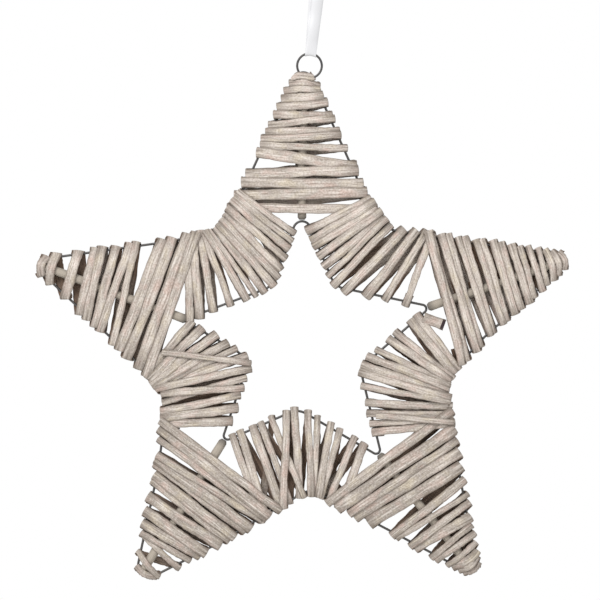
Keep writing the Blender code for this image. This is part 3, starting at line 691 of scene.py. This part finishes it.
def wind_zone(name, edge_a, edge_b, passes, crowns, arches, looks, seed, loose_end=()):
    """Strips wound round two edges, turn by turn, each strip with its share of the turns.

    Passes are pairs of places on the two edges in mm, with the strip's width there in mm. Each one's crown is
    its height above the wires at its shares, and its arch is how far its middle bows aside. Behind, a pass
    goes from where the one in front ended to where the next one starts, and half a step past the zone's ends.
    At its own ends a pass slants by 4 arches. A loose end is given as a pass, with the shares between which
    it lies.
    """
    greyness, bareness_and_shade, flatter = looks
    rng = np.random.default_rng(seed)
    places_a, places_b, widths = np.array(passes).T / 1000
    starts, ends = edge_a(places_a), edge_b(places_b)
    following = np.vstack((starts[1:], starts[-1] + 0.5 * (starts[-1] - starts[-2])))
    before = ends[0] - 0.5 * (ends[1] - ends[0])
    lowest = WIRE_RADIUS + STRIP_CLEARANCE + STRIP_THICKNESS / 2
    last = len(passes) - 1
    fronts, backs = [], []
    for i, crown in enumerate(crowns):
        base = lowest + crown * rng.uniform(FLATTEST_CROWN, 1.0)
        fronts.append(base + settle(starts[i], ends[i], widths[i], "front"))
        backs.append(base + settle(following[i], ends[i], widths[i], "back"))
    reach = rng.uniform(SHORTEST_FOLD, LONGEST_FOLD, (last + 2, 2))[:-1]  # one pair of draws is spare
    tightness = np.linalg.norm(arches, axis=1) / (TIP_ARCH * np.linalg.norm(ends - starts, axis=1))
    reach -= (reach - SHORTEST_FOLD) * np.minimum(1.0, TIP_TIGHTNESS * tightness)[:, None]
    strips = []
    for group in np.array_split(np.arange(last + 1), STRIPS_IN_A_ZONE):
        # The strip's end, tucked in behind before its first pass
        first = group[0]
        came_from = ends[first - 1] if first else before
        arriving = backs[max(first - 1, 0)]
        arch = arches[max(first - 1, 0)]
        high = JOIN[1] if first else TAIL
        wide = widths[first] * flatter
        legs = [pass_leg(starts[first], came_from, arriving, wide, True, 0.0, high, arch)]
        came, came_height = came_from - starts[first] + 4 * arch, arriving[0]
        for i in group:
            run, leaving, arch = ends[i] - starts[i], ends[i] - following[i], arches[i]
            narrow, both, heights = widths[i], (wide, widths[i]), (came_height, fronts[i][0])
            legs.append(fold_leg(starts[i], came, run + 4 * arch, *heights, reach[i, 0], both, True))
            legs.append(pass_leg(starts[i], ends[i], fronts[i], narrow, False, arch=arch))
            wide = narrow * flatter
            both, heights = (narrow, wide), (fronts[i][-1], backs[i][-1])
            arrives, leaves = run - 4 * arch, leaving - 4 * arch
            legs.append(fold_leg(ends[i], arrives, leaves, *heights, reach[i, 1], both, False))
            low = 1.0 - TAIL if i == last else JOIN[0] if i == group[-1] else 0.0
            legs.append(pass_leg(following[i], ends[i], backs[i], wide, True, low, 1.0, arch))
            came, came_height = leaving + 4 * arch, backs[i][0]
        strips.append(run_strip(legs, greyness, rng))
    if loose_end:
        place_a, place_b, wide = np.array(loose_end[:3]) / 1000
        loose = edge_a(place_a), edge_b(place_b)
        height = lowest + settle(*loose, wide, "front")
        leg = pass_leg(*loose, height, wide, False, *loose_end[3:])
        leg[4][0] = DIRTY_END
        strips.append(run_strip([leg], LOOSE_GREYNESS, rng))
    add_strips(f"{name}_willow_winding", strips, [f"{name}_strip_{i}" for i in (1, 2, 3)], bareness_and_shade)


def side_at_depth(line, tip, axis):
    """A function that gives the places on one of an arm's sides at depths below its tip, along its axis."""
    depths = (line - tip) @ axis
    return lambda depth: np.stack([np.interp(depth, depths, line[:, i]) for i in (0, 1)], axis=-1)


def wind_arm(k, passes):
    """The winding of one arm: its edges are the two sides of the tip, and a rod lies under its middle.

    The strips make a roof over the rod, whose height falls off with the distance from the middle. Near the
    tip the passes bow out round it, and their folds are tight.
    """
    tip = tips[k]
    sides = unit(sway_corners[k] - tip)
    axis = unit(sides.sum(axis=0))
    spread = np.abs(np.cross(axis, sides)).sum() / (axis @ sides[0])
    arcs = outer_wire[0].reshape(-1, BEND_STEPS + 1, 2)
    tip_a, tip_b = arcs[4 * k][BEND_STEPS // 2 :], arcs[4 * k][: BEND_STEPS // 2 + 1][::-1]
    edge_a = side_at_depth(np.vstack((tip_a, arcs[4 * k + 1], notches[k])), tip, axis)
    edge_b = side_at_depth(np.vstack((tip_b, arcs[4 * k - 1][::-1], notches[k - 1])), tip, axis)
    depths = np.array([one[:2] for one in passes]) / 1000
    middle = depths.mean(axis=1)
    smooth = np.sqrt((2.0 * PASS_SHARES - 1.0) ** 2 + ROOF_ROUND)
    roof = (ROD_RADIUS - WIRE_RADIUS) * (smooth.max() - smooth) / (smooth.max() - smooth.min())
    crowns = np.clip((middle * spread - ROD_SHOULDER) / ROD_SHOULDER, 0.0, 1.0)[:, None] * roof
    lengths = np.linalg.norm(edge_b(depths[:, 1]) - edge_a(depths[:, 0]), axis=1)
    near_tip = np.clip(1.0 - middle / TIP_ZONE, 0.0, 1.0)
    arches = (-TIP_ARCH * lengths * near_tip)[:, None] * axis
    wind_zone(f"{ARMS[k]}_arm", edge_a, edge_b, passes, crowns, arches, ARM_LOOKS[k], 20 + k)


wind_arm(0, TOP_ARM_PASSES)

# Notches: strips wound between the outer and the inner wire, fanned out like a hand of cards because the
# way round the opening is longer than the way round the notch. Nothing lies under their middle.
FAN_BOW = 0.0022
# Greyness, bareness with its painted shade in the gaps, and width behind, as on the arms: notch by notch from
# the upper left one
NOTCH_LOOKS = ((0.33, 0.9, 1.2), (0.48, 0.9, 1.2), (0.58, 0.9, 1.0), (0.45, 0.9, 1.15), (0.30, 0.9, 1.2))
# Where each pass in front crosses the outer and the inner wire, in mm anticlockwise from the middle of the
# notch and of the bay, and how wide the strip is there
UPPER_LEFT_FAN = (
    (22.5, 65, 6), (18, 57.5, 6.5), (13, 46.5, 6), (10, 33, 5), (7.5, 21, 5.5), (4.5, 13.5, 4),
    (-1, 6.5, 6), (-4.5, -2, 6), (-8.5, -9, 5.5), (-13.5, -15.5, 5.5), (-33, -44, 5), (-29, -37.5, 5),
    (-25, -31, 6), (-18, -24, 5.5),
)
LEFT_FAN = (
    (20, 47.5, 6.5), (15.5, 37.5, 6.5), (10.5, 27, 6), (3, 13.5, 5), (-8, -3, 6), (-10.5, -12, 5),
    (-12.5, -20, 6), (-15, -30.5, 6.5), (-17.5, -41.5, 7), (-22.5, -50, 6), (-8.5, 6.5, 6),
    (-4, 21.5, 5.5),
)
BOTTOM_FAN = (
    (25.5, 56, 6.5), (9, 34.5, 5), (16, 47, 5.5), (3, 16.5, 4.5), (6.5, 27, 5.5), (0.5, 8.5, 5.5),
    (-8, -3, 6), (-17, -29, 5), (-6, -20.5, 5), (-42, -52.5, 5.5), (-38, -46, 6), (-25.5, -35.5, 6.5),
    (-22.5, -9, 6),
)
RIGHT_FAN = (
    (14, 57, 6.5), (9.5, 51, 6.5), (5.5, 37.5, 5.5), (3, 30, 6), (0, 18.5, 5), (-3, 11, 6), (-8, 3.5, 6),
    (-11.5, -3, 6), (-14, -13.5, 5), (-18.5, -26, 5.8), (-24, -34, 5), (-27.5, -42, 5), (-31, -48.5, 6),
)
# The right notch's strip ends loose in front: its places and width, and the shares between which it shows
LOOSE_END = (43.0, 58.5, 8.5, 0.60, 0.99)
UPPER_RIGHT_FAN = (
    (27, 46, 6), (23, 39, 6.5), (18, 33.5, 6), (14.5, 25.5, 6), (10, 17, 6), (6.5, 9.5, 5), (1, 1.5, 6),
    (-9.5, -9, 6.5), (-19.5, -25, 7), (-27, -38.5, 5.5), (-32, -54, 5.5),
)


def along_wire(wire, start):
    """A function that gives the places at distances along a closed wire, counted from start."""
    line, distances, _ = wire
    closed = np.vstack((line, line[:1]))

    def place(distance):
        at = (start + distance) % distances[-1]
        return np.stack([np.interp(at, distances, closed[:, i]) for i in (0, 1)], axis=-1)

    return place


fan_edges = [
    (along_wire(outer_wire, outer_wire[2][4 * k + 2]), along_wire(inner_wire, inner_wire[2][2 * k + 1]))
    for k in range(5)
]
fan_crown = FAN_BOW * np.sin(math.pi * PASS_SHARES)


def wind_fan(k, name, passes, loose_end=()):
    """The winding of one notch, from the outer wire to the inner one: its height is half a sine wave."""
    crowns = np.tile(fan_crown, (len(passes), 1))
    arches = np.zeros((len(passes), 2))
    wind_zone(f"{name}_notch", *fan_edges[k], passes, crowns, arches, NOTCH_LOOKS[k], 40 + k, loose_end)


wind_fan(0, "upper_left", UPPER_LEFT_FAN)
wind_fan(1, "left", LEFT_FAN)
wind_fan(2, "bottom", BOTTOM_FAN)
wind_fan(3, "right", RIGHT_FAN, LOOSE_END)
wind_fan(4, "upper_right", UPPER_RIGHT_FAN)

# The other arms: wound as the top one is, with the same strips. The first place of each pass is on the side
# of the arm that lies anticlockwise, and the second one on the other side.
LEFT_ARM_PASSES = (
    (11.5, 11, 6), (19, 18.5, 7), (34, 33.5, 7.5), (48, 45.5, 7), (54.5, 49.5, 6.5), (61.5, 59, 7),
    (66.5, 68.5, 6), (78.5, 73, 5.5), (84.5, 90.5, 8), (92.5, 97, 7.5), (102.5, 107.5, 8), (110, 113.5, 7),
)
LOWER_LEFT_ARM_PASSES = (
    (15, 13, 5), (18, 23, 4.5), (32, 35.5, 5), (41, 36, 4.5), (47.5, 42.5, 6.5), (52.5, 50.5, 7.5),
    (63.5, 60.5, 8), (70.5, 71, 5.5), (75.5, 75.5, 7.5), (83, 82.5, 5), (88, 86.5, 7.5), (98, 89, 5.5),
    (101, 99, 5), (104.5, 105.5, 7), (112, 111, 6.5),
)
LOWER_RIGHT_ARM_PASSES = (
    (9.3, 9.8, 6), (13, 13, 5), (17, 18.5, 6.5), (22.5, 22, 4.5), (29, 30, 5), (35.5, 34, 5),
    (41, 46.5, 7.5), (50.5, 49.5, 5.5), (56, 60, 4.5), (65.5, 64, 6.5), (75.5, 82, 9.5), (85, 92, 8.5),
    (93, 96, 6), (101.5, 105, 9), (113.5, 113, 7),
)
RIGHT_ARM_PASSES = (
    (10, 10, 5), (15, 15.5, 5), (19.5, 20, 5), (25, 26, 4), (31.5, 31, 5), (37.5, 38, 5), (43, 43, 6),
    (50.5, 50.5, 6), (56, 55.5, 6), (63.5, 63, 6), (67.5, 66.5, 4.5), (75, 75.5, 5.5), (79.5, 78, 4.5),
    (86.5, 88, 6), (91.5, 91, 6), (99.5, 100.5, 6.5), (100, 104, 6),
)
wind_arm(1, LEFT_ARM_PASSES)
wind_arm(2, LOWER_LEFT_ARM_PASSES)
wind_arm(3, LOWER_RIGHT_ARM_PASSES)
wind_arm(4, RIGHT_ARM_PASSES)

# Stray strips: two narrower ones laid slantwise over the left and right notches, cut off in front at one end
# and folded over the wire at the other, where they are tucked in behind.
STRAY_WIDTH = 0.0046
STRAY_GREYNESS = 0.45
STRAY_LIFT = 0.0006  # behind, over the strips there
STRAYS = (
    # notch, places on the outer and the inner wire in mm, share where it is cut, whether that is its far end
    (1, (-51.0, 1.5), 0.285, False),
    (3, (-30.0, -35.0), 0.98, True),
)
for number, (k, (outer_place, inner_place), cut, cut_at_far_end) in enumerate(STRAYS, start=1):
    rng = np.random.default_rng(60 + number)
    edge_a, edge_b = fan_edges[k]
    start, end = edge_a(outer_place / 1000), edge_b(inner_place / 1000)
    height = WIRE_RADIUS + STRIP_THICKNESS + fan_crown
    front = height + settle(start, end, STRAY_WIDTH, "front")
    back = height + STRAY_LIFT
    run = end - start
    both = (STRAY_WIDTH, STRAY_WIDTH)
    if cut_at_far_end:
        legs = [
            pass_leg(start, end, back, STRAY_WIDTH, True, 0.0, TAIL),
            fold_leg(start, run, run, back[0], front[0], SHORTEST_FOLD, both, True),
            pass_leg(start, end, front, STRAY_WIDTH, False, 0.0, cut),
        ]
    else:
        legs = [
            pass_leg(start, end, front, STRAY_WIDTH, False, cut, 1.0),
            fold_leg(end, run, run, front[-1], back[-1], LONGEST_FOLD, both, False),
            pass_leg(start, end, back, STRAY_WIDTH, True, 1.0 - TAIL, 1.0),
        ]
    stray = run_strip(legs, STRAY_GREYNESS, rng)
    add_strips(f"stray_willow_strip_{number}", [stray], [f"stray_strip_{number}"], 1.0)

# Top wrap: a short soaked strip wound once round the top tip and the lower side of the ring. It holds the
# ring in place, and has dried creased.
WRAP_STATIONS = 96
WRAP_INSET = (0.0012, 0.0007)  # of its middle from the solid's sides, across the star and in depth
WRAP_POWERS = (0.7, 0.9)  # of the cosine and the sine on its way round, which square its oval
WRAP_WAVER = 0.0005  # up and down, three times on its way round
WRAP_UNEVEN = 0.08  # share of its width, five times on its way round
WRAP_CREASE = 0.00035
CREASE_WAVES = ((7, 0.9), (3, -1.7))  # times on its way round, and radians from column to column
WRAP_TAPER = 0.38  # how much narrower the wrap is at its upper edge, where it is drawn in over the tip
TAPER_POWER = 1.5  # of the height, by which it narrows
# The wrap's tone, its wear, and how dark its inner faces are, as bare wood and partly as painted shade
WRAP_GREYNESS, WRAP_WEAR, WRAP_BARENESS_AND_SHADE = 0.1, 0.25, 0.3
wrap_low, wrap_high = (np.array(corner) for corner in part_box("top_binding"))
wrap_middle, wrap_half = (wrap_low + wrap_high) / 2, (wrap_high - wrap_low) / 2
angle = np.linspace(0.0, 2 * math.pi, WRAP_STATIONS, endpoint=False)
wrap_x, wrap_y = (
    (half - inset) * np.sign(wave) * np.abs(wave) ** power
    for half, inset, wave, power in zip(wrap_half, WRAP_INSET, (np.cos(angle), np.sin(angle)), WRAP_POWERS)
)
wrap_line = wrap_middle + np.stack((wrap_x, wrap_y, WRAP_WAVER * np.sin(3 * angle + 1.0)), axis=-1)
run = unit(np.roll(wrap_line, -1, axis=0) - np.roll(wrap_line, 1, axis=0))
wrap_across = np.broadcast_to((0.0, 0.0, 1.0), run.shape)
wrap_out = unit(np.cross(run, wrap_across))

# Its creases are the product of two waves that run slantwise over it, against each other. Its ragged edges
# go on with the last stray strip's random draws.
crease = WRAP_CREASE
for waves, slant in CREASE_WAVES:
    crease = crease * np.sin(waves * angle[:, None] + slant * np.arange(STRIP_COLUMNS))
wrap_width = 2 * wrap_half[2] * (1.0 - WRAP_UNEVEN + WRAP_UNEVEN * np.sin(5 * angle + 0.5))
wrap_shell = strip_shell(wrap_line, wrap_across, wrap_out, wrap_width, crease, rng)
above = np.clip((wrap_shell[..., 2] - wrap_low[2]) / (2 * wrap_half[2]), 0.0, 1.0)
wrap_shell[..., 0] += (wrap_middle[0] - wrap_shell[..., 0]) * WRAP_TAPER * above**TAPER_POWER
wrap_tone, wrap_worn = np.full(WRAP_STATIONS, WRAP_GREYNESS), np.full(WRAP_STATIONS, WRAP_WEAR)
wrap_strip = (wrap_shell, wrap_tone, wrap_worn, lengths_along(wrap_line))
add_strips("creased_top_wrap", [wrap_strip], ["top_binding"], WRAP_BARENESS_AND_SHADE, closed=True)

# Surroundings: plain pale floor well under the star, an even white sky, and one large soft light in front.
FLOOR_LEVEL = -0.70
FLOOR_HALF = 1.2
KEY_PLACE = (-0.8, -1.3, 1.0)
KEY_SIZE = 0.8
KEY_POWER = 30.0
floor_mesh = bpy.data.meshes.new("floor")
floor_corners = FLOOR_HALF * np.array(((-1, -1, 0), (1, -1, 0), (1, 1, 0), (-1, 1, 0))) + (0, 0, FLOOR_LEVEL)
floor_mesh.from_pydata(floor_corners.tolist(), [], [(0, 1, 2, 3)])
floor_finish, _, _ = new_finish("pale_floor", Base_Color=linear("#EDEDEB"), Roughness=0.9)
floor_mesh.materials.append(floor_finish)
floor = put_in_scene("floor", floor_mesh)

world = bpy.data.worlds.new("white_studio")
world.use_nodes = True
world.node_tree.nodes["Background"].inputs["Color"].default_value = (1.0, 1.0, 1.0, 1.0)
world.node_tree.nodes["Background"].inputs["Strength"].default_value = 1.0
bpy.context.scene.world = world
bpy.context.scene.view_settings.view_transform = "Standard"

key_data = bpy.data.lights.new("key", "AREA")
key_data.size = KEY_SIZE
key_data.energy = KEY_POWER
key = put_in_scene("key", key_data)
key.location = KEY_PLACE
aim = np.array((CENTRE[0], 0.0, CENTRE[1])) - KEY_PLACE
tilt = math.atan2(math.hypot(aim[0], aim[1]), -aim[2])
key.rotation_euler = (tilt, 0.0, math.atan2(aim[1], aim[0]) - math.pi / 2)
